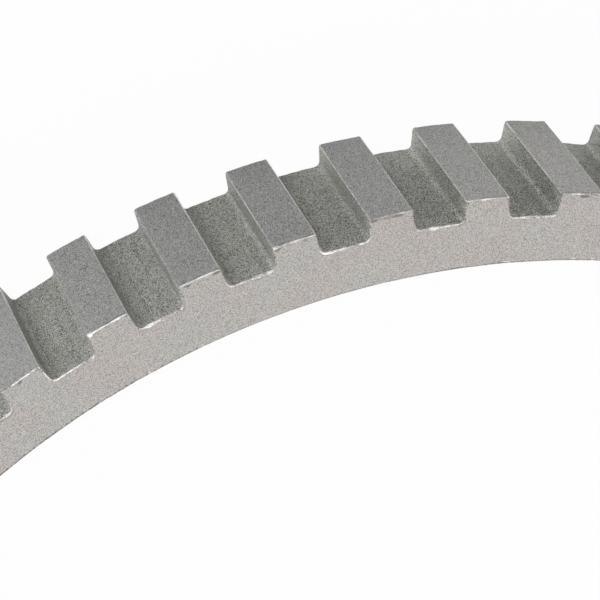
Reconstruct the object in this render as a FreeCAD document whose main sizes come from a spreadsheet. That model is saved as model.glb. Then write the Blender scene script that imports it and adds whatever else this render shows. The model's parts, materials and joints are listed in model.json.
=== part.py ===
import FreeCAD, Part
import math
import os
import Sketcher

# Toothed tone ring for a wheel-speed sensor, pressed and sintered in one piece.
#
# The ring lies on its back face. Its axis is Z, the back face is at Z = 0 and the origin is on the axis.
# A flat rim carries straight teeth that run over its whole width, parallel to the axis. The gaps between
# them have flanks with a little draft, a floor concentric with the bore, and rounded corners. The plain
# bore is pressed onto a hub or a shaft, and both of its edges have a small chamfer.

# Driving dimensions, in millimetres and degrees, apart from the number of teeth.
SIZES = {
    "bore_diameter": 85.9,
    "rim_thickness": 2.75,
    "tooth_height": 1.3,
    "ring_width": 9.4,
    "tooth_count": 54,
    "land_width": 2.45,
    "flank_draft": 3.0,
    "root_fillet": 0.34,
    "tip_round": 0.08,
    "bore_chamfer": 0.15,
}

# Radii and angles that follow from them, as expressions on the sheet. The outline of a gap reaches past
# the tooth tips by as much as a tooth is high.
BORE_RADIUS = "Sizes.bore_diameter / 2"
ROOT_RADIUS = BORE_RADIUS + " + Sizes.rim_thickness"
OUTER_RADIUS = ROOT_RADIUS + " + Sizes.tooth_height"
MOUTH_RADIUS = OUTER_RADIUS + " + Sizes.tooth_height"
HALF_PITCH = "180 / Sizes.tooth_count"

# How a constraint names the ends and the centre of an element, and the sketch's own origin and X axis.
START, END, CENTRE = 1, 2, 3
ORIGIN = (-1, START)
X_AXIS = -1
SKETCH_ORIGIN = FreeCAD.Vector(0, 0, 0)
SKETCH_NORMAL = FreeCAD.Vector(0, 0, 1)
FULL_TURN = 360


def make_sheet(doc):
    """Writes the driving dimensions into a sheet, one row each, with the name as the alias."""
    sheet = doc.addObject("Spreadsheet::Sheet", "Sizes")
    for row, (name, value) in enumerate(SIZES.items(), start=1):
        sheet.set(f"A{row}", name)
        sheet.set(f"B{row}", str(value))
        sheet.setAlias(f"B{row}", name)
    doc.recompute()


def origin_feature(body, role):
    """The plane or axis of the body's own origin that has this role."""
    return next(item for item in body.Origin.OriginFeatures if item.Role == role)


def new_sketch(body, name, plane):
    """An empty sketch on one of the body's origin planes."""
    sketch = body.newObject("Sketcher::SketchObject", name)
    sketch.AttachmentSupport = [(origin_feature(body, plane), "")]
    sketch.MapMode = "FlatFace"
    return sketch


def constrain(sketch, *constraint):
    """Adds a constraint with no size of its own."""
    sketch.addConstraint(Sketcher.Constraint(*constraint))


def bind(sketch, expression, *constraint):
    """Adds a dimension and ties it to the sheet. Its first value is the one that is already drawn."""
    index = sketch.addConstraint(Sketcher.Constraint(*constraint))
    sketch.setExpression(f"Constraints[{index}]", expression)


def draw_section(sketch, size):
    """Half section of the blank: a rectangle from bore to tooth tips, with both bore edges chamfered."""
    bore = size["bore_diameter"] / 2
    outer = bore + size["rim_thickness"] + size["tooth_height"]
    width = size["ring_width"]
    chamfer = size["bore_chamfer"]
    corners = [
        FreeCAD.Vector(bore + chamfer, 0, 0),
        FreeCAD.Vector(outer, 0, 0),
        FreeCAD.Vector(outer, width, 0),
        FreeCAD.Vector(bore + chamfer, width, 0),
        FreeCAD.Vector(bore, width - chamfer, 0),
        FreeCAD.Vector(bore, chamfer, 0),
    ]
    sides = [
        sketch.addGeometry(Part.LineSegment(first, last), False)
        for first, last in zip(corners, corners[1:] + corners[:1])
    ]
    for side, following in zip(sides, sides[1:] + sides[:1]):
        constrain(sketch, "Coincident", side, END, following, START)
    back, tips, front, front_chamfer, bore_wall, back_chamfer = sides
    constrain(sketch, "Horizontal", back)
    constrain(sketch, "Horizontal", front)
    constrain(sketch, "Vertical", tips)
    constrain(sketch, "Vertical", bore_wall)
    constrain(sketch, "PointOnObject", back, START, X_AXIS)
    bind(sketch, BORE_RADIUS, "DistanceX", *ORIGIN, bore_wall, END, bore)
    bind(sketch, OUTER_RADIUS, "DistanceX", *ORIGIN, tips, START, outer)
    bind(sketch, "Sizes.ring_width", "DistanceY", tips, START, tips, END, width)
    bind(sketch, "Sizes.bore_chamfer", "DistanceX", front_chamfer, END, front_chamfer, START, chamfer)
    bind(sketch, "Sizes.bore_chamfer", "DistanceY", front_chamfer, END, front_chamfer, START, chamfer)
    bind(sketch, "Sizes.bore_chamfer", "DistanceX", back_chamfer, START, back_chamfer, END, chamfer)
    bind(sketch, "Sizes.bore_chamfer", "DistanceY", back_chamfer, END, back_chamfer, START, chamfer)


def gap_points(size):
    """Where the upper half of one tooth gap is drawn. The gap is centred on the sketch's X axis.

    The flank is a straight line beside the centreline of the next tooth. Each rounded corner touches
    the flank and a circle about the origin, so its centre lies on a line parallel to the flank.
    """
    root = size["bore_diameter"] / 2 + size["rim_thickness"]
    outer = root + size["tooth_height"]
    fillet = size["root_fillet"]
    tip = size["tip_round"]
    half_pitch = math.pi / size["tooth_count"]
    slope = half_pitch + math.radians(size["flank_draft"])
    outwards = FreeCAD.Vector(math.cos(slope), math.sin(slope), 0)
    into_gap = FreeCAD.Vector(math.sin(slope), -math.cos(slope), 0)
    corner_angle = half_pitch - math.asin(size["land_width"] / 2 / outer)
    corner = FreeCAD.Vector(outer * math.cos(corner_angle), outer * math.sin(corner_angle), 0)
    flank_offset = corner.dot(into_gap)

    def centre(offset, distance):
        """The point at this distance from the origin, on the line at this offset beside the flank."""
        return into_gap * offset + outwards * math.sqrt(distance**2 - offset**2)

    fillet_centre = centre(flank_offset + fillet, root + fillet)
    tip_centre = centre(flank_offset - tip, outer - tip)
    return {
        "corner": corner,
        "tooth_centre": FreeCAD.Vector(outer * math.cos(half_pitch), outer * math.sin(half_pitch), 0),
        "fillet_centre": fillet_centre,
        "fillet_on_floor": fillet_centre * (root / (root + fillet)),
        "fillet_on_flank": fillet_centre - into_gap * fillet,
        "tip_centre": tip_centre,
        "tip_on_flank": tip_centre + into_gap * tip,
        "tip_on_land": tip_centre * (outer / (outer - tip)),
        "mouth_end": tip_centre * ((outer + size["tooth_height"]) / (outer - tip)),
    }


def draw_arc(sketch, centre, radius, first, last):
    """An arc about a centre, anticlockwise from the direction of one point to that of another."""
    first_angle, last_angle = (
        math.atan2(point.y - centre.y, point.x - centre.x) for point in (first, last)
    )
    circle = Part.Circle(centre, SKETCH_NORMAL, radius)
    return sketch.addGeometry(Part.ArcOfCircle(circle, first_angle, last_angle), False)


def draw_side(sketch, at, size, floor, mouth, tips, upper):
    """One side of the gap: root fillet, flank, rounded tooth tip, and a radial line out past the tips.

    Arcs run anticlockwise, so on the lower side each one starts where its mirror image ends.
    """
    first, last = (START, END) if upper else (END, START)

    def arc(centre, radius, near, far):
        ends = (near, far) if upper else (far, near)
        return draw_arc(sketch, at[centre], radius, at[ends[0]], at[ends[1]])

    fillet = arc("fillet_centre", size["root_fillet"], "fillet_on_flank", "fillet_on_floor")
    flank = sketch.addGeometry(Part.LineSegment(at["fillet_on_flank"], at["tip_on_flank"]), False)
    tip = arc("tip_centre", size["tip_round"], "tip_on_flank", "tip_on_land")
    way_out = sketch.addGeometry(Part.LineSegment(at["tip_on_land"], at["mouth_end"]), False)
    constrain(sketch, "Tangent", floor, last, fillet, last)
    constrain(sketch, "Tangent", fillet, first, flank, START)
    constrain(sketch, "Tangent", flank, END, tip, first)
    constrain(sketch, "Coincident", tip, last, way_out, START)
    constrain(sketch, "PointOnObject", tip, last, tips)
    constrain(sketch, "PointOnObject", tip, CENTRE, way_out)
    constrain(sketch, "PointOnObject", *ORIGIN, way_out)
    constrain(sketch, "Coincident", way_out, END, mouth, last)
    return fillet, flank, tip


def draw_gap(sketch, size):
    """Closed outline of one tooth gap, which reaches past the tooth tips."""
    upper = gap_points(size)
    lower = {name: FreeCAD.Vector(point.x, -point.y, 0) for name, point in upper.items()}
    root = size["bore_diameter"] / 2 + size["rim_thickness"]
    outer = root + size["tooth_height"]
    beyond = outer + size["tooth_height"]

    floor = draw_arc(sketch, SKETCH_ORIGIN, root, lower["fillet_on_floor"], upper["fillet_on_floor"])
    mouth = draw_arc(sketch, SKETCH_ORIGIN, beyond, lower["mouth_end"], upper["mouth_end"])
    tips = sketch.addGeometry(Part.Circle(SKETCH_ORIGIN, SKETCH_NORMAL, outer), True)
    for ring, expression, radius in (
        (floor, ROOT_RADIUS, root),
        (mouth, MOUTH_RADIUS, beyond),
        (tips, OUTER_RADIUS, outer),
    ):
        constrain(sketch, "Coincident", ring, CENTRE, *ORIGIN)
        bind(sketch, expression, "Radius", ring, radius)

    fillet, flank, tip = draw_side(sketch, upper, size, floor, mouth, tips, True)
    low_fillet, low_flank, low_tip = draw_side(sketch, lower, size, floor, mouth, tips, False)
    bind(sketch, "Sizes.root_fillet", "Radius", fillet, size["root_fillet"])
    bind(sketch, "Sizes.tip_round", "Radius", tip, size["tip_round"])
    constrain(sketch, "Equal", fillet, low_fillet)
    constrain(sketch, "Equal", tip, low_tip)
    constrain(sketch, "Symmetric", flank, END, low_flank, END, X_AXIS)

    # The flank leans by the draft against the next tooth's centreline, and would meet the tip circle
    # at half the land's width from that line if the corner were sharp.
    half_pitch = math.pi / size["tooth_count"]
    centreline = sketch.addGeometry(Part.LineSegment(SKETCH_ORIGIN, upper["tooth_centre"]), True)
    corner = sketch.addGeometry(Part.Point(upper["corner"]), True)
    constrain(sketch, "Coincident", centreline, START, *ORIGIN)
    constrain(sketch, "PointOnObject", centreline, END, tips)
    constrain(sketch, "PointOnObject", corner, START, tips)
    constrain(sketch, "PointOnObject", corner, START, flank)
    bind(sketch, HALF_PITCH, "Angle", centreline, half_pitch)
    bind(
        sketch, HALF_PITCH + " + Sizes.flank_draft",
        "Angle", flank, half_pitch + math.radians(size["flank_draft"]),
    )
    bind(
        sketch, "Sizes.land_width / 2",
        "Distance", corner, START, centreline, size["land_width"] / 2,
    )


def make_tone_ring(doc, size):
    """A turned blank with one gap cut through its width and repeated all the way round."""
    body = doc.addObject("PartDesign::Body", "ToneRing")
    body.Label = "tone_ring"

    section = new_sketch(body, "Section", "XZ_Plane")
    draw_section(section, size)
    blank = body.newObject("PartDesign::Revolution", "Blank")
    blank.Profile = section
    blank.ReferenceAxis = (section, ["V_Axis"])
    blank.Angle = FULL_TURN
    doc.recompute()

    outline = new_sketch(body, "GapOutline", "XY_Plane")
    draw_gap(outline, size)
    gap = body.newObject("PartDesign::Pocket", "Gap")
    gap.Profile = outline
    gap.Type = "ThroughAll"
    gap.Reversed = True
    doc.recompute()

    gaps = body.newObject("PartDesign::PolarPattern", "Gaps")
    gaps.Originals = [gap]
    gaps.Axis = (origin_feature(body, "Z_Axis"), [""])
    gaps.Angle = FULL_TURN
    gaps.setExpression("Occurrences", "Sizes.tooth_count")
    body.Tip = gaps
    doc.recompute()
    check_gaps(blank, gap, gaps, size)
    return body


def check_gaps(blank, gap, gaps, size):
    """The pattern has to take away as many gaps as there are teeth."""
    one_gap = blank.Shape.Volume - gap.Shape.Volume
    all_gaps = blank.Shape.Volume - gaps.Shape.Volume
    expected = one_gap * size["tooth_count"]
    if one_gap <= 0 or abs(all_gaps - expected) > 0.001 * expected:
        raise RuntimeError(f"the gaps take away {all_gaps:.3f} mm3 instead of {expected:.3f} mm3")


def check(doc, parts):
    """Stops if any feature failed, or if a part isn't one valid solid."""
    for item in doc.Objects:
        if "Invalid" in item.State or "Error" in item.State:
            raise RuntimeError(f"{item.Name} failed: {item.State}")
    for item in parts:
        shape = item.Shape
        if shape.isNull() or not shape.isValid() or len(shape.Solids) != 1:
            raise RuntimeError(f"{item.Label} isn't one valid solid")


def main():
    doc = FreeCAD.newDocument("ToneRing")
    make_sheet(doc)
    parts = [make_tone_ring(doc, SIZES)]
    check(doc, parts)
    os.makedirs("parts", exist_ok=True)
    for item in parts:
        item.Shape.exportStep(f"parts/{item.Label}.step")
        box = item.Shape.BoundBox
        print(f"{item.Label}: {box.XLength:.3f} x {box.YLength:.3f} x {box.ZLength:.3f} mm,"
              f" {item.Shape.Volume:.1f} mm3")


main()
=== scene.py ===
import json
import math

import bpy
import numpy as np
from mathutils import Matrix, Vector


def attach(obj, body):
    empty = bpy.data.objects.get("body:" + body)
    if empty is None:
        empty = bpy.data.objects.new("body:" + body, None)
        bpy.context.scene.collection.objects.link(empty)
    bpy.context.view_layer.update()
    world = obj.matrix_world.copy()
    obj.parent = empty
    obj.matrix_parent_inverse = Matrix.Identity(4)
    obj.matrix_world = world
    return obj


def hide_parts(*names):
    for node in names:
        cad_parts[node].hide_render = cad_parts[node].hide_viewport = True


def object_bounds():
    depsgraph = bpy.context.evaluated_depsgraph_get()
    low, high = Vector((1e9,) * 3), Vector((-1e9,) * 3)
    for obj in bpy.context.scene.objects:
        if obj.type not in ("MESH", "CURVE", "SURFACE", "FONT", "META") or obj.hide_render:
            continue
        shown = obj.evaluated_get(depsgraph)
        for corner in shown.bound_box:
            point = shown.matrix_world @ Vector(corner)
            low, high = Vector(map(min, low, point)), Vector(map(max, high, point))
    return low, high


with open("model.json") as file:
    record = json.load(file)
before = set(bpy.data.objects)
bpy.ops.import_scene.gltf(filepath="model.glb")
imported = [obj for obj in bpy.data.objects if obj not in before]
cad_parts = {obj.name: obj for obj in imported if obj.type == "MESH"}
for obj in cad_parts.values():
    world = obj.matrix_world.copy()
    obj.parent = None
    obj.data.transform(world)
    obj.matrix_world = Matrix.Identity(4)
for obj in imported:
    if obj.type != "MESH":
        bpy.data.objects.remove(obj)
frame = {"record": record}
cad_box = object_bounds()

# Tone ring: one piece of iron powder, pressed in a toothed die and sintered. The die leaves straight teeth
# with a little draft and rounded roots. Every edge is broken by tumbling, so it is a narrow rounded band of
# uneven width, wider and more chipped along the front of the gaps.
MM = 0.001
bore_mount = next(mount for mount in frame["record"]["mounts"] if mount["name"] == "bore")
BORE_RADIUS = bore_mount["dims"]["r_mm"] * MM
OUTER_RADIUS = -cad_box[0].y
RING_WIDTH = cad_box[1].z
TOOTH_COUNT = 54
TOOTH_HEIGHT = 1.3 * MM
LAND_WIDTH = 2.45 * MM
FLANK_DRAFT = math.radians(3)
ROOT_FILLET = 0.34 * MM
TIP_ROUND = 0.08 * MM
BACK_TIP_ROUND = 0.14 * MM
ROOT_RADIUS = OUTER_RADIUS - TOOTH_HEIGHT
HALF_PITCH = math.pi / TOOTH_COUNT

# How many steps the grid takes along each stretch between the middle of a gap and the middle of a tooth,
# at which step each stretch starts, and how far round the half pitch its end has come at the bore.
STEPS = {"floor": 9, "fillet": 6, "flank": 3, "tip": 4, "land": 10}
STARTS = dict(zip(STEPS, np.cumsum([0, *STEPS.values()]).tolist()))
BORE_SHARES = {"middle": 0, "floor": 0.40, "fillet": 0.62, "flank": 0.68, "tip": 0.74, "land": 1.0}
HALF_COLUMNS = sum(STEPS.values())
TOOTH_COLUMNS = 2 * HALF_COLUMNS
COLUMNS = TOOTH_COLUMNS * TOOTH_COUNT
random = np.random.default_rng(54)


def arc(centre, radius, first, last, steps, hollow):
    """Points on a circle at even angles from the direction of one point to that of another, without the
    last. The normal points away from the centre, or towards it where the arc is hollow."""
    start = math.atan2(*(first - centre)[::-1])
    turn = math.atan2(*(last - centre)[::-1]) - start
    turn = (turn + math.pi) % (2 * math.pi) - math.pi
    angles = start + turn * np.arange(steps) / steps
    away = np.stack([np.cos(angles), np.sin(angles)], axis=1)
    return centre + radius * away, -away if hollow else away


def half_outline(tip_round):
    """The outline from the middle of a gap, on the X axis, to the middle of the next tooth.
    Both rounded corners touch the flank, a straight line, and a circle about the ring's axis, so their
    centres lie beside the flank at their own radius."""
    slope = HALF_PITCH + FLANK_DRAFT
    outwards = np.array([math.cos(slope), math.sin(slope)])
    into_gap = np.array([math.sin(slope), -math.cos(slope)])
    corner_angle = HALF_PITCH - math.asin(LAND_WIDTH / 2 / OUTER_RADIUS)
    corner = OUTER_RADIUS * np.array([math.cos(corner_angle), math.sin(corner_angle)])
    offset = corner @ into_gap

    def beside(distance_off, distance_out):
        return into_gap * distance_off + outwards * math.sqrt(distance_out**2 - distance_off**2)

    axis = np.zeros(2)
    root = beside(offset + ROOT_FILLET, ROOT_RADIUS + ROOT_FILLET)
    tip = beside(offset - tip_round, OUTER_RADIUS - tip_round)
    on_floor = root * ROOT_RADIUS / (ROOT_RADIUS + ROOT_FILLET)
    low_flank = root - into_gap * ROOT_FILLET
    high_flank = tip + into_gap * tip_round
    on_land = tip * OUTER_RADIUS / (OUTER_RADIUS - tip_round)
    middle = OUTER_RADIUS * np.array([math.cos(HALF_PITCH), math.sin(HALF_PITCH)])
    share = np.arange(STEPS["flank"])[:, None] / STEPS["flank"]
    stretches = [
        arc(axis, ROOT_RADIUS, np.array([ROOT_RADIUS, 0]), on_floor, STEPS["floor"], False),
        arc(root, ROOT_FILLET, on_floor, low_flank, STEPS["fillet"], True),
        (low_flank + (high_flank - low_flank) * share, np.repeat(into_gap[None], STEPS["flank"], axis=0)),
        arc(tip, tip_round, high_flank, on_land, STEPS["tip"], False),
        arc(axis, OUTER_RADIUS, on_land, middle, STEPS["land"], False),
        (middle[None], middle[None] / OUTER_RADIUS),
    ]
    return [np.concatenate(parts) for parts in zip(*stretches)]


def both_halves(half, sign=1):
    """One pitch, from the middle of a tooth to the middle of the next one. The first half is mirrored."""
    return np.concatenate([sign * half[:0:-1], half[:-1]])


def all_round(one_pitch):
    """The same pitch again for each tooth."""
    return np.tile(one_pitch, TOOTH_COUNT)


def along_half(values):
    """A value for each step of the half outline, evenly between those in the middle of the gap and at the
    stretches' ends."""
    ends = [*STARTS.values(), HALF_COLUMNS]
    return np.interp(np.arange(HALF_COLUMNS + 1), ends, [values[name] for name in ("middle", *STEPS)])


def along_ring(values):
    """The same for each column of the grid."""
    return all_round(both_halves(along_half(values)))


def turned(half):
    """Vectors of the half outline, mirrored to a whole pitch and turned to each gap's place."""
    x = all_round(both_halves(half[:, 0]))
    y = all_round(both_halves(half[:, 1], -1))
    cosine, sine = np.cos(gap_angle), np.sin(gap_angle)
    return np.stack([x * cosine - y * sine, x * sine + y * cosine], axis=1)


gap_angle = np.repeat(np.arange(TOOTH_COUNT), TOOTH_COLUMNS) * 2 * HALF_PITCH
outline, outline_normal = (turned(half) for half in half_outline(TIP_ROUND))
back_outline, back_normal = (turned(half) for half in half_outline(BACK_TIP_ROUND))
bore_angle = gap_angle + HALF_PITCH * all_round(both_halves(along_half(BORE_SHARES), -1))
bore_direction = np.stack([np.cos(bore_angle), np.sin(bore_angle)], axis=1)

# The broken edge in mm, in the middle of a gap and at each stretch's end: its radius, the most that it may
# be, and how uneven it is. Its ripples are given as their length in grid steps and their share.
EDGE_RADIUS = {"middle": 0.065, "floor": 0.055, "fillet": 0.045, "flank": 0.045, "tip": 0.045, "land": 0.055}
EDGE_LIMIT = {"middle": 0.14, "floor": 0.10, "fillet": 0.05, "flank": 0.05, "tip": 0.05, "land": 0.11}
BACK_RADIUS = {"middle": 0.05, "floor": 0.05, "fillet": 0.045, "flank": 0.045, "tip": 0.06, "land": 0.06}
BACK_LIMIT = {"middle": 0.12, "floor": 0.09, "fillet": 0.08, "flank": 0.08, "tip": 0.10, "land": 0.11}
EDGE_UNEVEN = {"middle": 0.65, "floor": 0.45, "fillet": 0.3, "flank": 0.2, "tip": 0.25, "land": 0.45}
EDGE_RIPPLES = {2.5: 0.8, 8: 0.6}
NARROWEST_EDGE = 0.4
BORE_EDGE = 0.04 * MM
NARROWEST_BORE_EDGE = 0.4
WIDEST_BORE_EDGE = 2.0
TIP_COLUMNS = [
    slice(HALF_COLUMNS - STARTS["land"], HALF_COLUMNS - STARTS["tip"] + 1),
    slice(HALF_COLUMNS + STARTS["tip"], HALF_COLUMNS + STARTS["land"] + 1),
]


def ripple(length):
    """Random values around the ring, with a spread of 1, smoothed over a length in grid steps."""
    spectrum = np.fft.rfft(random.standard_normal(COLUMNS))
    spectrum *= np.exp(-((np.fft.rfftfreq(COLUMNS) * length) ** 2) * math.pi)
    values = np.fft.irfft(spectrum, COLUMNS)
    return values / values.std()


def wavering(level, spread, length):
    """A level with ripples of this spread and length about it."""
    return level + spread * ripple(length)


def edge_radius(radius, limit, chips):
    """The broken edge's radius at each column: its stretch's own, made uneven by ripples, with a few chips.
    Around a tooth's rounded tip it stays the same, so that the rows beside it don't fold."""
    plain = along_ring(radius)
    unevenness = sum(share * ripple(length) for length, share in EDGE_RIPPLES.items())
    uneven = plain * np.exp(along_ring(EDGE_UNEVEN) * unevenness)
    chipped = uneven + chips * plain * np.clip(wavering(-1.2, spread=1, length=6), 0, None)
    teeth = np.clip(chipped, NARROWEST_EDGE * plain, along_ring(limit)).reshape(TOOTH_COUNT, -1)
    for tip in TIP_COLUMNS:
        teeth[:, tip] = teeth[:, tip].mean(axis=1, keepdims=True)
    return teeth.ravel() * MM


def bore_edge_radius(chips):
    """The same for the bore's edge, whose nicks are deeper on some stretches than on others."""
    nicks = chips * np.clip(wavering(-1.1, spread=1, length=4), 0, None)
    nicks *= np.clip(wavering(0.6, spread=0.6, length=90), 0.2, 1.3)
    widths = wavering(0.8, spread=0.2, length=6) + nicks
    return BORE_EDGE * np.clip(widths, NARROWEST_BORE_EDGE, WIDEST_BORE_EDGE)


front_edge = edge_radius(EDGE_RADIUS, EDGE_LIMIT, chips=1.2)
back_edge = edge_radius(BACK_RADIUS, BACK_LIMIT, chips=0.6)
front_bore_edge = bore_edge_radius(chips=0.9)
back_bore_edge = bore_edge_radius(chips=0.4)

# A row beside each edge holds its rounding in place. Further rows bound the bare line below the front edge,
# the painted shadow dashes and the rim beside it on the front face, and the dirt beside the bore.
EDGE_SUPPORT = 0.02 * MM
BORE_SUPPORT = 0.04 * MM
LINE_WIDTH = 0.16 * MM
LOW_WALL_SHARE = 0.3
WALL_SHARE = 0.7
DASH_SHARE = 0.022
RIM_SHARE = 0.055
FACE_SHARES = (0.5, 0.955)
EDGE_TURNS = np.radians([0, 22.5, 45, 67.5, 90])


def at_outline(inset, height):
    """A row of points beside the outline, moved into the ring by inset, at this height."""
    flat = outline - outline_normal * np.broadcast_to(inset, COLUMNS)[:, None]
    return np.column_stack([flat, np.broadcast_to(height, COLUMNS)])


def at_back(inset, height):
    """The same beside the back face's outline, where the teeth's tips are rounder."""
    flat = back_outline - back_normal * np.broadcast_to(inset, COLUMNS)[:, None]
    return np.column_stack([flat, np.broadcast_to(height, COLUMNS)])


def at_bore(inset, height):
    """A row of points beside the bore, moved into the ring by inset, at this height."""
    flat = bore_direction * (BORE_RADIUS + np.broadcast_to(inset, COLUMNS))[:, None]
    return np.column_stack([flat, np.broadcast_to(height, COLUMNS)])


def rounded(row_at, radius, from_top, turns):
    """Rows over a quarter-round edge, for each turn from 0 on the wall to a quarter turn on the face.
    The inset is radius * (1 - cos turn) and the drop from the face radius * (1 - sin turn)."""
    for turn in turns:
        drop = radius * (1 - np.sin(turn))
        inset = radius * (1 - np.cos(turn))
        yield row_at(inset, RING_WIDTH - drop if from_top else drop)


# The grid's rows run once round the ring's section: up the outer wall, over the front face to the bore,
# down the bore and back over the face that the ring lies on. The front edge, seen best, has most turns.
face_start = at_outline(front_edge + EDGE_SUPPORT, RING_WIDTH)
face_end = at_bore(front_bore_edge + BORE_SUPPORT, RING_WIDTH)
across_face = face_end - face_start
rows = {
    "back_edge": list(rounded(at_back, back_edge, False, EDGE_TURNS[::-2])),
    "wall_start": [at_back(0, back_edge + EDGE_SUPPORT)],
    "low_wall": [at_outline(0, LOW_WALL_SHARE * RING_WIDTH)],
    "wall": [at_outline(0, WALL_SHARE * RING_WIDTH)],
    "wall_rim": [at_outline(0, RING_WIDTH - front_edge - EDGE_SUPPORT - LINE_WIDTH)],
    "wall_end": [at_outline(0, RING_WIDTH - front_edge - EDGE_SUPPORT)],
    "front_edge": list(rounded(at_outline, front_edge, True, EDGE_TURNS)),
    "face_start": [face_start],
    "face_dash": [face_start + across_face * DASH_SHARE],
    "face_rim": [face_start + across_face * RIM_SHARE],
    "face": [face_start + across_face * share for share in FACE_SHARES],
    "face_end": [face_end],
    "bore_edge": list(rounded(at_bore, front_bore_edge, True, EDGE_TURNS[::-2])),
    "bore": [
        at_bore(0, RING_WIDTH - front_bore_edge - BORE_SUPPORT),
        at_bore(0, back_bore_edge + BORE_SUPPORT),
    ],
    "back_bore_edge": list(rounded(at_bore, back_bore_edge, False, EDGE_TURNS[::4])),
    "back_face": [at_bore(back_bore_edge + BORE_SUPPORT, 0), at_back(back_edge + EDGE_SUPPORT, 0)],
}
grid = np.stack([row for group in rows.values() for row in group])
row_kind = np.array([kind for kind, group in rows.items() for row in group])[:, None]

numbers = np.arange(grid.shape[0] * COLUMNS).reshape(-1, COLUMNS)
next_column = np.roll(numbers, -1, axis=1)
next_row = np.roll(numbers, -1, axis=0)
faces = np.stack([numbers, next_column, np.roll(next_column, -1, axis=0), next_row], axis=-1)

ring_mesh = bpy.data.meshes.new("tone_ring_body")
ring_mesh.from_pydata(grid.reshape(-1, 3), [], faces.reshape(-1, 4))
ring_mesh.update()
ring_mesh.shade_smooth()


def store(name, *layers):
    """Keeps a value at each point of the ring's mesh, for its material. Each layer fills the rows of its
    kinds, and a later one covers an earlier one."""
    values = np.zeros(grid.shape[:2], dtype=np.float32)
    for kinds, value in layers:
        values = np.where(np.isin(row_kind, kinds), value, values)
    attribute = ring_mesh.attributes.new(name, "FLOAT", "POINT")
    attribute.data.foreach_set("value", values.astype(np.float32).ravel())


def hump(stretch):
    """Half a sine wave along one stretch of the half outline, and 0 elsewhere."""
    wave = np.zeros(HALF_COLUMNS + 1)
    start = STARTS[stretch]
    wave[start : start + STEPS[stretch] + 1] = np.sin(np.linspace(0, math.pi, STEPS[stretch] + 1))
    return wave


def by_side(before, after):
    """One value for the half of each pitch before the middle of its gap, and one for the half after it."""
    return np.repeat([before, after], HALF_COLUMNS)


# Bare metal shows on the broken edges, in a thin line on each land's rounded sides, and on the nicks of the
# bore's edge. Some sides of the ring are worn more than others, and so is one side of each tooth.
EDGE_WEAR = {"middle": 0.82, "floor": 0.76, "fillet": 0.45, "flank": 0.35, "tip": 0.65, "land": 0.84}
IN_ROOT = {"middle": 0, "floor": 1, "fillet": 1, "flank": 1, "tip": 0, "land": 0}
ON_LAND = {"middle": 0, "floor": 0, "fillet": 0, "flank": 0, "tip": 1, "land": 1}
ROOT_LOSS = (0.15, -0.35)
TIP_WEAR = (0.68, 1.3)
LEAST_WEAR = 0.85
WEAR_SIDES = 3
MOST_WORN = math.radians(-80)
BACK_WEAR = 0.5
ring_angle = np.arctan2(outline[:, 1], outline[:, 0])
on_land = along_ring(ON_LAND)
sides = 0.5 + 0.5 * np.cos(WEAR_SIDES * (ring_angle - MOST_WORN))
side_share = 1 - (1 - LEAST_WEAR) * (1 - sides)
root_share = 1 - all_round(both_halves(along_half(IN_ROOT)) * by_side(*ROOT_LOSS))
even_wear = along_ring(EDGE_WEAR) * side_share * root_share
edge_wear = np.clip(even_wear * wavering(1, spread=0.15, length=4), 0, 1)
tip_wear = all_round(both_halves(hump("tip")) * by_side(*TIP_WEAR))
tip_wear *= np.clip(wavering(0.9, spread=0.2, length=60), 0, 1)
NICK_WEAR = 2.2
bore_chips = np.clip(NICK_WEAR * (front_bore_edge / BORE_EDGE - 1), 0, 1)

# A few teeth have a bruised corner at the front, always on the same side of the tooth.
BRUISED_CORNERS = 0.25
CORNER_SEED = 136
BRUISE = (0, 0.5, 1, 1, 1, 1, 0.5)
BRUISE_SIDES = (1.1, 0)
bruise = np.zeros(HALF_COLUMNS + 1)
bruise[STARTS["tip"] : STARTS["tip"] + len(BRUISE)] = BRUISE
bruised = np.random.default_rng(CORNER_SEED).random(TOOTH_COUNT) < BRUISED_CORNERS
corner = all_round(both_halves(bruise) * by_side(*BRUISE_SIDES)) * np.repeat(bruised, TOOTH_COLUMNS)

# Both kinds of wear spread from the broken edge to the rows beside it, each by its own share.
GAP_SPREAD = 0.55
EDGE_REACH = {"wall_rim": 0, "wall_end": 0.7, "face_start": 1, "face_dash": 0.35}
BRUISE_REACH = {"wall_rim": 0.3, "wall_end": 1, "face_start": 1, "face_dash": 0.6}
NICK_REACH = {"face_end": 0.7, "bore_edge": 0.25}
ragged = GAP_SPREAD * edge_wear * (1 - on_land)
walls = ["wall_start", "low_wall", "wall", "wall_rim", "wall_end"]


def wear_beside(kind):
    """The wear of a row beside the front edge: the most of the tip's line, the edge's wear and a bruise."""
    line = tip_wear if kind in walls else 0
    return np.maximum(line, np.maximum(EDGE_REACH[kind] * ragged, BRUISE_REACH[kind] * corner))


store(
    "wear",
    ("front_edge", np.maximum(edge_wear, corner)),
    ("back_edge", BACK_WEAR * edge_wear),
    (walls, tip_wear),
    *[(kind, wear_beside(kind)) for kind in EDGE_REACH],
    *[(kind, reach * bore_chips) for kind, reach in NICK_REACH.items()],
)

# Each root fillet carries a painted highlight, a brighter streak along it.
fillet_highlight = all_round(both_halves(hump("fillet") ** 2)) * np.clip(wavering(0.8, spread=0.3, length=60), 0, 1)
store("fillet_highlight", (walls, fillet_highlight))
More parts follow.
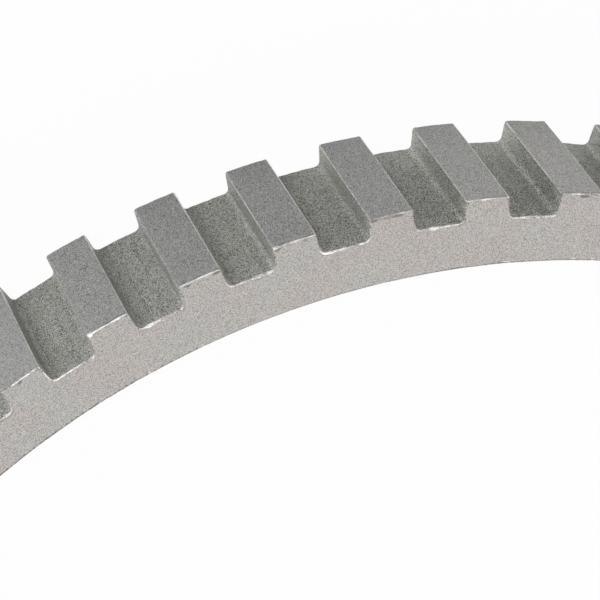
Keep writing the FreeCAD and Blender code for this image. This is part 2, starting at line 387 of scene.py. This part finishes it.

# Painted light and shade: the lands and the gaps are painted lighter or darker round the ring, as the light
# falls on them, and the gaps are painted lighter towards the back face, more on some sides than on others.
GAP_LIGHT = 0.15
GAP_LIGHT_SIDES = 3
BEST_LIT_GAP = math.radians(-85)
LAND_LIGHT = 0.09
LAND_LIGHT_SIDES = 8
MOST_SHADED_LAND = math.radians(-101)
END_LIGHT = 0.75
END_LIGHT_SIDES = 6
END_LIGHT_POWER = 1.6
LEAST_LIT_END = math.radians(-92)
LOW_WALL_LIGHT = 0.3
gap_light = (1 - on_land) * GAP_LIGHT * np.cos(GAP_LIGHT_SIDES * (ring_angle - BEST_LIT_GAP))
land_light = -on_land * LAND_LIGHT * np.cos(LAND_LIGHT_SIDES * (ring_angle - MOST_SHADED_LAND))
lit_end_sides = 0.5 - 0.5 * np.cos(END_LIGHT_SIDES * (ring_angle - LEAST_LIT_END))
end_light = END_LIGHT * (1 - on_land) * lit_end_sides**END_LIGHT_POWER
wall_light = gap_light + land_light
store(
    "painted_light",
    (["wall", "wall_rim", "wall_end", "front_edge"], wall_light),
    ("low_wall", wall_light + LOW_WALL_LIGHT * end_light),
    (["back_edge", "wall_start"], wall_light + end_light),
)


def less_in_gaps(share):
    """1 on the lands and this share of it in the gaps."""
    return share + (1 - share) * on_land


# Dirt and pits gather along the bore's edge and behind the edges of the lands. Short dark dashes on both
# sides of the front edge are painted shadow, and the dark line along the bore's edge and the marks beside
# its nicks are painted shade.
START_SHADE = 0.4
NICK_SHADE = 1.3
NICK_SHIFT = 4
bore_soil = np.clip(wavering(0.8, spread=0.4, length=90), 0.2, 1.4)
land_soil = np.clip(on_land * wavering(0.7, spread=0.3, length=30), 0, 1)
store("soil", (["face_end", "bore_edge"], bore_soil), ("face_start", land_soil))
wall_shadow_dashes = np.clip(wavering(0.8, spread=1.2, length=6), 0, 2.5) * less_in_gaps(0.4)
face_shadow_dashes = np.clip(wavering(-0.5, spread=2.2, length=5), 0, 2.5) * less_in_gaps(0.35)
bore_edge_shade = np.clip(wavering(2, spread=0.8, length=12), 0.6, 3)
store(
    "painted_shade",
    ("bore_edge", bore_edge_shade),
    ("wall_end", wall_shadow_dashes),
    ("face_start", START_SHADE * face_shadow_dashes),
    ("face_dash", face_shadow_dashes),
    ("face_end", NICK_SHADE * np.roll(bore_chips, NICK_SHIFT)),
)

# The material also needs to know the flat faces, the bore, and how far a point of the outer wall lies below
# the teeth's tips, in tooth heights.
front_face = ["face_start", "face_dash", "face_rim", "face", "face_end"]
store("face", ([*front_face, "bore_edge", "back_bore_edge", "back_face"], 1))
store("bore", ("bore", 1))
below_tips = (OUTER_RADIUS - np.linalg.norm(outline, axis=1)) / TOOTH_HEIGHT
store("depth", (["back_edge", *walls, "front_edge"], below_tips))

tone_ring = bpy.data.objects.new("tone_ring_body", ring_mesh)
bpy.context.scene.collection.objects.link(tone_ring)
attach(tone_ring, "root")
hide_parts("tone_ring")


class Wire:
    """A socket of a material's node tree. Sums and products of wires add the Math nodes for them."""

    def __init__(self, tree, socket):
        self.tree = tree
        self.socket = socket

    def make(self, kind, settings, sockets, output=0):
        """Adds a node of this type: its settings first, then a value or a wire for each named socket."""
        return add_node(self.tree, kind, settings, sockets, output)

    def beside(self, output):
        """Another output of the same node."""
        return Wire(self.tree, find_socket(self.socket.node.outputs, output))

    def math(self, operation, *values):
        return self.make("ShaderNodeMath", {"operation": operation}, dict(enumerate(values)))

    def __add__(self, other):
        return self.math("ADD", self, other)

    def __sub__(self, other):
        return self.math("SUBTRACT", self, other)

    def __rsub__(self, other):
        return self.math("SUBTRACT", other, self)

    def __mul__(self, other):
        return self.math("MULTIPLY", self, other)

    __radd__ = __add__
    __rmul__ = __mul__

    def most(self, other):
        """The higher of two wires."""
        return self.math("MAXIMUM", self, other)

    def between(self, low, high):
        """0 below low, 1 above high, and a straight ramp in between."""
        ends = {"Value": self, "From Min": low, "From Max": high}
        return self.make("ShaderNodeMapRange", {"clamp": True}, ends)

    def mix(self, first, last):
        """A colour between two others, by this wire's value."""
        ends = {"Factor": self, "A": first, "B": last}
        return self.make("ShaderNodeMix", {"data_type": "RGBA"}, ends, "Result")

    def scaled(self, factor):
        """This colour or vector times a value."""
        return self.make("ShaderNodeVectorMath", {"operation": "SCALE"}, {0: self, "Scale": factor})


def find_socket(sockets, key):
    """A socket by its number, or the one in use that has this name."""
    if isinstance(key, int):
        return sockets[key]
    return next(socket for socket in sockets if socket.name == key and socket.enabled)


def add_node(tree, kind, settings, sockets, output=0):
    """Adds a node to a tree and gives a wire from one of its outputs."""
    node = tree.nodes.new(kind)
    for name, value in settings.items():
        setattr(node, name, value)
    for key, value in sockets.items():
        socket = find_socket(node.inputs, key)
        if isinstance(value, Wire):
            tree.links.new(value.socket, socket)
        else:
            socket.default_value = value
    return Wire(tree, find_socket(node.outputs, output))


# Sintered iron is grey and grainy, and single grains carry painted glints. The flat faces are a little
# paler and warmer, the gaps greener and darker, and the worn edges bare and bright.
FACE_COLOUR = (0.475, 0.450, 0.436, 1)
FACE_PATCH = (0.455, 0.450, 0.434, 1)
WALL_COLOUR = (0.365, 0.369, 0.360, 1)
WALL_PATCH = (0.356, 0.356, 0.408, 1)
GAP_COLOUR = (0.364, 0.368, 0.343, 1)
GAP_PATCH = (0.359, 0.366, 0.328, 1)
WORN_AND_GLINT_COLOUR = (0.76, 0.75, 0.73, 1)
SOIL_AND_SHADE_COLOUR = (0.085, 0.08, 0.075, 1)
GRAIN_SIZE = 0.047 * MM
FACE_GRAIN_SIZE = 0.066 * MM
DUST_SIZE = 0.040 * MM
SPECK_SIZE = 0.14 * MM
GLINT_SIZE = 0.11 * MM
DRAG_SIZE = 0.30 * MM
DRAG_LENGTH = 25
CHATTER_SIZE = 0.28 * MM
PATCH_SIZE = 0.9 * MM
MOTTLE_SIZE = 3.0 * MM

iron = bpy.data.materials.new("sintered_iron")
iron.use_nodes = True
tree = iron.node_tree
tree.nodes.clear()
position = add_node(tree, "ShaderNodeTexCoord", {}, {}, "Object")


def kept(name):
    """The value that the mesh keeps under this name."""
    return add_node(tree, "ShaderNodeAttribute", {"attribute_name": name}, {}, "Fac")


def grains(size):
    """Grains of one size, packed at random: the tone of each, and how far a point is off its middle."""
    sockets = {"Vector": position, "Scale": 1 / size, "Randomness": 1.0}
    tint = add_node(tree, "ShaderNodeTexVoronoi", {"voronoi_dimensions": "3D"}, sockets, "Color")
    return tint.make("ShaderNodeSeparateColor", {}, {"Color": tint}, "Red"), tint.beside("Distance")


def noise(size, detail=2.0, where=position):
    """Soft random values about 0.5, with spots of this size."""
    sockets = {"Vector": where, "Scale": 1 / size, "Detail": detail, "Roughness": 0.55}
    return add_node(tree, "ShaderNodeTexNoise", {"noise_dimensions": "3D"}, sockets, "Fac")


wear, soil, painted_shade, face = kept("wear"), kept("soil"), kept("painted_shade"), kept("face")
bore, fillet_highlight, painted_light, depth = kept("bore"), kept("fillet_highlight"), kept("painted_light"), kept("depth")
grain_tone, grain_off = grains(GRAIN_SIZE)
face_tone, face_off = grains(FACE_GRAIN_SIZE)
dust = noise(DUST_SIZE)
chatter = noise(CHATTER_SIZE, 1.0)
patch = noise(PATCH_SIZE)
mottle = noise(MOTTLE_SIZE, 3.0)
stretch = {0: position, 1: (1, 1, 1 / DRAG_LENGTH)}
drag = noise(DRAG_SIZE, 1.0, position.make("ShaderNodeVectorMath", {"operation": "MULTIPLY"}, stretch))

# A land turns into a gap a little below the tips. Each of the three colours has patches of a second one.
LAND_TO_GAP = (0.03, 0.12)
WALL_PATCHES = (0.64, 0.74)
GAP_PATCHES = (0.45, 0.62)
FACE_PATCHES = (0.48, 0.60)
deep = depth.between(*LAND_TO_GAP)
land = patch.between(*WALL_PATCHES).mix(WALL_COLOUR, WALL_PATCH)
gap = mottle.between(*GAP_PATCHES).mix(GAP_COLOUR, GAP_PATCH)
flat = mottle.between(*FACE_PATCHES).mix(FACE_COLOUR, FACE_PATCH)
body = face.mix(deep.mix(land, gap), flat)

# A grain is as light as its own tone and the dust on it make it, and dark in the seam around it. The
# contrast is strongest in the gaps. They and the bore also have the die's drag marks.
TONE_SHARE = 0.35
DUST_SHARE = 0.5
SEAM_SHARE = 1.3
MEAN_OFF = 0.45
WALL_CONTRAST = 1.4
GAP_CONTRAST = 2.55
FACE_CONTRAST = 0.78
MOTTLE_TINT = 0.1
FILLET_HIGHLIGHT_TINT = 0.5
DRAG_TINT = 0.4
tone = grain_tone + face * (face_tone - grain_tone)
off = grain_off + face * (face_off - grain_off)
speckle = TONE_SHARE * (tone - 0.5) + DUST_SHARE * (dust - 0.5) - SEAM_SHARE * (off - MEAN_OFF)
contrast = WALL_CONTRAST + (GAP_CONTRAST - WALL_CONTRAST) * deep + (FACE_CONTRAST - WALL_CONTRAST) * face
drawn = (deep + bore) * (drag - 0.5)
# The tint also adds the painted light and shade round the ring and the painted highlight along the root
# fillets.
tint = MOTTLE_TINT * (mottle - 0.5) + FILLET_HIGHLIGHT_TINT * fillet_highlight * chatter + DRAG_TINT * drawn + painted_light
body = body.scaled(1 + contrast * speckle + tint)

# Bare metal shows on worn places, broken up by the grain. Painted glints lie on single bright grains and
# specks, mostly in the gaps, which are also made more metallic and smoother.
WORN_LEVEL = 0.4
WORN_BY_GRAIN = 0.5
WORN_BY_CHATTER = 1.0
WORN_BY_MOTTLE = 0.8
WORN_PLACES = (0.30, 0.80)
GLINTING_GRAINS = (0.93, 0.97)
GRAIN_GLINT = 0.3
GRAIN_GLINT_IN_GAPS = 0.5
GRAIN_GLINT_OFF_FACES = 0.25
GLINTS = (0.68, 0.78)
GLINT = 0.15
GLINT_IN_GAPS = 0.45
by_grain = WORN_LEVEL + WORN_BY_GRAIN * tone + WORN_BY_GRAIN * dust
by_place = WORN_BY_CHATTER * (chatter - 0.5) + WORN_BY_MOTTLE * (mottle - 0.5)
worn = (wear * (by_grain + by_place)).between(*WORN_PLACES)
grain_glint = tone.between(*GLINTING_GRAINS) * (GRAIN_GLINT + GRAIN_GLINT_IN_GAPS * deep - GRAIN_GLINT_OFF_FACES * face)
glint = noise(GLINT_SIZE).between(*GLINTS) * (GLINT + GLINT_IN_GAPS * deep)
bare_and_glints = worn.most(grain_glint.most(glint))

# Dirt lies in specks, more of them on soiled places. A broken dark line by the edges and under the tips is
# painted shade.
SPECKS = (0.79, 0.87)
SPECKS_BY_SOIL = 0.28
TIP_SHADE_TOP = (0.055, 0.085)
TIP_SHADE_FOOT = (0.12, 0.18)
TIP_SHADE = 0.85
LINE_LEVEL = 0.5
LINE_BY_CHATTER = 1.6
LINES = (0.1, 0.9)
SPECK_DARKNESS = 0.75
LINE_DARKNESS = 0.7
shade_under_tip = depth.between(*TIP_SHADE_TOP) * (1 - depth.between(*TIP_SHADE_FOOT))
specks = (noise(SPECK_SIZE) + SPECKS_BY_SOIL * soil).between(*SPECKS)
broken = LINE_LEVEL + LINE_BY_CHATTER * (chatter - 0.5)
shade_lines = ((painted_shade + TIP_SHADE * shade_under_tip) * broken).between(*LINES)
dark = (SPECK_DARKNESS * specks).most(LINE_DARKNESS * shade_lines)
colour = dark.mix(bare_and_glints.mix(body, WORN_AND_GLINT_COLOUR), SOIL_AND_SHADE_COLOUR)

# The grains stand up from their seams. Bare metal and the painted glints are smoother, and so is the bore.
GRAIN_HEIGHT = 0.015 * MM
DUST_HEIGHT = 0.6
METALLIC = 0.12
BARE_METALLIC = 0.68
ROUGHNESS = 0.55
BARE_SMOOTHNESS = 0.08
BORE_SMOOTHNESS = 0.06
SPECULAR = 0.3
height = (1 - off) + DUST_HEIGHT * dust
relief = height.make("ShaderNodeBump", {}, {"Strength": 1.0, "Distance": GRAIN_HEIGHT, "Height": height})
shader = add_node(
    tree, "ShaderNodeBsdfPrincipled", {},
    {
        "Base Color": colour,
        "Metallic": METALLIC + BARE_METALLIC * bare_and_glints,
        "Roughness": ROUGHNESS - BARE_SMOOTHNESS * bare_and_glints - BORE_SMOOTHNESS * bore,
        "Specular IOR Level": SPECULAR,
        "Normal": relief,
    },
)
output = tree.nodes.new("ShaderNodeOutputMaterial")
tree.links.new(shader.socket, output.inputs["Surface"])
ring_mesh.materials.append(iron)

# Floor
# A plain white sheet that the ring lies on. It shows as white, also in the metal, and keeps a faint shadow.
FLOOR_SIZE = 8.0
FLOOR_WHITE = (1, 1, 1, 1)
FLOOR_SHADE = (0.9, 0.9, 0.9, 1)
WHITE_SHARE = 0.97

floor_mesh = bpy.data.meshes.new("floor")
reach = FLOOR_SIZE / 2
corners = [(-reach, -reach, 0), (reach, -reach, 0), (reach, reach, 0), (-reach, reach, 0)]
floor_mesh.from_pydata(corners, [], [(0, 1, 2, 3)])
floor = bpy.data.objects.new("floor", floor_mesh)
bpy.context.scene.collection.objects.link(floor)

paper = bpy.data.materials.new("white_floor")
paper.use_nodes = True
tree = paper.node_tree
tree.nodes.clear()


def seen_directly(tree):
    """1 for rays from the camera and for what is seen in metal or through glass, 0 for the rest."""
    path = tree.nodes.new("ShaderNodeLightPath")
    names = ("Is Camera Ray", "Is Glossy Ray", "Is Transmission Ray")
    camera_ray, glossy_ray, transmission_ray = (Wire(tree, path.outputs[name]) for name in names)
    return (camera_ray + glossy_ray + transmission_ray).between(0, 1)


white = add_node(tree, "ShaderNodeEmission", {}, {"Color": FLOOR_WHITE, "Strength": 1.0})
shade = add_node(tree, "ShaderNodeBsdfDiffuse", {}, {"Color": FLOOR_SHADE})
blend = add_node(tree, "ShaderNodeMixShader", {}, {0: seen_directly(tree) * WHITE_SHARE, 1: shade, 2: white})
output = tree.nodes.new("ShaderNodeOutputMaterial")
tree.links.new(blend.socket, output.inputs["Surface"])
floor_mesh.materials.append(paper)

# Light
# Soft studio light from square panels: one high behind the ring, and lower ones to the left, in front on the
# left, and to the right, where the light is a little warmer. A pale room fills in the rest.
WORLD_LEVEL = 0.10
PANEL_DISTANCE = 1.2
PANEL_SIZE = 0.8

world = bpy.data.worlds.new("studio")
bpy.context.scene.world = world
world.use_nodes = True
tree = world.node_tree
tree.nodes.clear()
level = seen_directly(tree) * (1 - WORLD_LEVEL) + WORLD_LEVEL
sky = add_node(tree, "ShaderNodeBackground", {}, {"Color": (1, 1, 1, 1), "Strength": level})
output = tree.nodes.new("ShaderNodeOutputWorld")
tree.links.new(sky.socket, output.inputs["Surface"])


def panel(name, azimuth, elevation, power, colour):
    """A square light panel that faces the ring from this direction."""
    data = bpy.data.lights.new(name, "AREA")
    data.shape = "SQUARE"
    data.size = PANEL_SIZE
    data.energy = power
    data.color = colour
    a, e = math.radians(azimuth), math.radians(elevation)
    back = Vector((math.cos(a) * math.cos(e), math.sin(a) * math.cos(e), math.sin(e)))
    light = bpy.data.objects.new(name, data)
    light.location = back * PANEL_DISTANCE
    light.rotation_euler = back.to_track_quat("Z", "Y").to_euler()
    bpy.context.scene.collection.objects.link(light)


panel("behind", azimuth=90, elevation=42, power=10.2, colour=(1.0, 0.98, 0.96))
panel("left", azimuth=-10, elevation=12, power=9.0, colour=(1.0, 1.0, 1.0))
panel("front_left", azimuth=-62, elevation=20, power=6.0, colour=(1.0, 1.0, 1.0))
panel("right", azimuth=176, elevation=12, power=9.0, colour=(1.0, 0.93, 0.88))

# Camera
# It looks down on the ring from outside, close up, through a long lens, so that the near arc fills the
# picture. It is turned on its own axis, so that the tooth tips point up in the picture.
CAMERA_FROM_AXIS = 159.6 * MM
CAMERA_AZIMUTH = -91.41
CAMERA_HEIGHT = 191.5 * MM
AIM_RADIUS = 43.4 * MM
AIM_AZIMUTH = -102.78
CAMERA_ROLL = 148.06
LENS_MM = 242.3
SENSOR_MM = 36


def on_circle(radius, azimuth, height):
    """A point at this distance from the ring's axis, turned from +X by the azimuth in degrees."""
    angle = math.radians(azimuth)
    return Vector((radius * math.cos(angle), radius * math.sin(angle), height))


camera_data = bpy.data.cameras.new("camera")
camera_data.lens = LENS_MM
camera_data.sensor_width = SENSOR_MM
camera_data.clip_start = 10 * MM
camera = bpy.data.objects.new("camera", camera_data)
station = on_circle(CAMERA_FROM_AXIS, CAMERA_AZIMUTH, CAMERA_HEIGHT)
aim = on_circle(AIM_RADIUS, AIM_AZIMUTH, RING_WIDTH)
upright = (aim - station).to_track_quat("-Z", "Y").to_matrix().to_4x4()
roll = Matrix.Rotation(math.radians(CAMERA_ROLL), 4, "Z")
camera.matrix_world = Matrix.Translation(station) @ upright @ roll
bpy.context.scene.collection.objects.link(camera)
bpy.context.scene.camera = camera

bpy.context.scene.view_settings.view_transform = "Standard"
